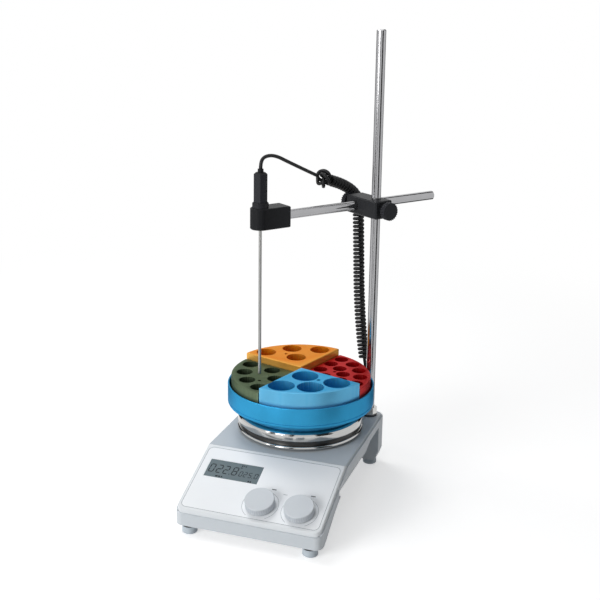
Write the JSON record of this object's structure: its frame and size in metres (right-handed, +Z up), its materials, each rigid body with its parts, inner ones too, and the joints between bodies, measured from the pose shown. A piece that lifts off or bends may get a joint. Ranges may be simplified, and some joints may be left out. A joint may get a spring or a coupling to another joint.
{
  "type": "hotplate magnetic stirrer",
  "caption": "Compact laboratory hotplate stirrer with a sloped control panel, a round tray of quarter vial blocks and a rod stand holding a temperature probe on a coiled lead.",
  "frame": {"origin": "on the bench, midway between the four feet", "axes": "+X to the right as seen from the control panel, +Y to the back, +Z up"},
  "size_m": [0.1847, 0.3127, 0.4812],
  "materials": {
    "housing": "satin",
    "bezel": "satin",
    "overlay": "satin",
    "window": "gloss",
    "module": "matte",
    "board": "satin",
    "screw_steel": "satin",
    "foot": "matte",
    "foot_ring": "matte",
    "polished_steel": "polished",
    "heater": "matte",
    "insulation": "matte",
    "shaft_steel": "satin",
    "knob": "satin",
    "motor": "satin",
    "carrier": "satin",
    "magnet": "satin",
    "black_plastic": "satin",
    "socket_metal": "satin",
    "tray_blue": "anodised",
    "gold": "anodised",
    "green": "anodised",
    "blue": "anodised",
    "red": "anodised",
    "washer_black": "matte",
    "rod_steel": "polished",
    "black_metal": "satin",
    "probe_steel": "satin",
    "cable": "satin"
  },
  "bodies": {
    "base": {"lower_housing": "housing", "top_cover": "housing", "bottom_cover": "housing", "front_bezel": "bezel", "panel_overlay": "overlay", "display_window": "window", "display_module": "module", "control_board": "board", "power_board": "board", "bottom_cover_screws": "screw_steel", "feet": "foot", "foot_rings": "foot_ring", "hotplate": "polished_steel", "plate_skirt": "polished_steel", "heater_disc": "heater", "insulation_disc": "insulation", "plate_standoffs": "screw_steel", "encoder_bodies": "module", "motor": "motor", "motor_bracket": "screw_steel", "mains_inlet": "black_plastic", "switch_frame": "black_plastic", "probe_socket": "socket_metal", "probe_plug": "socket_metal", "rod_insert": "socket_metal", "rod_washer": "washer_black", "rod_nut": "polished_steel", "cable_tail": "cable"},
    "rotor": {"motor_shaft": "shaft_steel", "magnet_carrier": "carrier", "magnets": "magnet"},
    "left_plunger": {"encoder_plunger_left": "shaft_steel"},
    "left_knob": {"encoder_shaft_left": "shaft_steel", "knob_left": "knob"},
    "right_plunger": {"encoder_plunger_right": "shaft_steel"},
    "right_knob": {"encoder_shaft_right": "shaft_steel", "knob_right": "knob"},
    "rocker": {"switch_rocker": "black_plastic"},
    "tray": {"tray": "tray_blue"},
    "gold_block": {"block_gold": "gold"},
    "green_block": {"block_green": "green"},
    "blue_block": {"block_blue": "blue"},
    "red_block": {"block_red": "red"},
    "stand": {"support_rod": "rod_steel", "cable_coil_hanging": "cable"},
    "boss": {"boss_head": "black_metal", "cable_coil_upper": "cable"},
    "rod_screw": {"rod_thumbscrew": "black_plastic"},
    "arm_screw": {"arm_thumbscrew": "black_plastic"},
    "arm": {"arm_rod": "rod_steel", "sensor_holder": "black_metal", "cable_clump": "cable"},
    "probe": {"probe_shaft": "probe_steel", "probe_collar": "black_plastic", "probe_handle": "black_plastic", "cable_lead": "cable"}
  },
  "joints": [
    {"name": "rotor_spin", "type": "hinge", "parent": "base", "child": "rotor", "pos_m": [0, 0.0446, 0.035], "axis": [0, 0, 1], "continuous": true},
    {"name": "left_knob_push", "type": "slide", "parent": "base", "child": "left_plunger", "axis": [0, -0.3665, 0.9304], "range_m": [-0.0006, 0], "stiffness_N_per_m": 1200},
    {"name": "left_knob_turn", "type": "hinge", "parent": "left_plunger", "child": "left_knob", "pos_m": [0.0068, -0.09487, 0.03483], "axis": [0, -0.3665, 0.9304], "continuous": true},
    {"name": "right_knob_push", "type": "slide", "parent": "base", "child": "right_plunger", "axis": [0, -0.3665, 0.9304], "range_m": [-0.0006, 0], "stiffness_N_per_m": 1200},
    {"name": "right_knob_turn", "type": "hinge", "parent": "right_plunger", "child": "right_knob", "pos_m": [0.0471, -0.09487, 0.03483], "axis": [0, -0.3665, 0.9304], "continuous": true},
    {"name": "rocker_tilt", "type": "hinge", "parent": "base", "child": "rocker", "pos_m": [0.00265, 0.1139, 0.042], "axis": [0, 0, 1], "range_deg": [0, 13]},
    {"name": "tray_lift", "type": "slide", "parent": "base", "child": "tray", "axis": [0, 0, 1], "range_m": [0, 0.025]},
    {"name": "gold_block_lift", "type": "slide", "parent": "tray", "child": "gold_block", "axis": [0, 0, 1], "range_m": [0, 0.028]},
    {"name": "green_block_lift", "type": "slide", "parent": "tray", "child": "green_block", "axis": [0, 0, 1], "range_m": [0, 0.028]},
    {"name": "blue_block_lift", "type": "slide", "parent": "tray", "child": "blue_block", "axis": [0, 0, 1], "range_m": [0, 0.028]},
    {"name": "red_block_lift", "type": "slide", "parent": "tray", "child": "red_block", "axis": [0, 0, 1], "range_m": [0, 0.028]},
    {"name": "stand_swivel", "type": "hinge", "parent": "base", "child": "stand", "pos_m": [0.062, 0.1023, 0.1], "axis": [0, 0, 1], "range_deg": [-35, 35]},
    {"name": "boss_height", "type": "slide", "parent": "stand", "child": "boss", "axis": [0, 0, 1], "range_m": [-0.025, 0.1], "deforming": ["cable_coil_hanging"]},
    {"name": "rod_screw_turn", "type": "hinge", "parent": "boss", "child": "rod_screw", "pos_m": [0.062, 0.1023, 0.2948], "axis": [0.8049, -0.5934, 0], "range_deg": [0, 180]},
    {"name": "arm_screw_turn", "type": "hinge", "parent": "boss", "child": "arm_screw", "pos_m": [0.062, 0.1023, 0.2948], "axis": [-0.8049, 0.5934, 0], "range_deg": [0, 180]},
    {"name": "arm_slide", "type": "slide", "parent": "boss", "child": "arm", "axis": [0.5934, 0.8049, 0], "range_m": [-0.03, 0.03], "deforming": ["cable_coil_upper"]},
    {"name": "probe_lift", "type": "slide", "parent": "arm", "child": "probe", "axis": [0, 0, -1], "range_m": [-0.06, 0], "deforming": ["cable_lead"]}
  ]
}
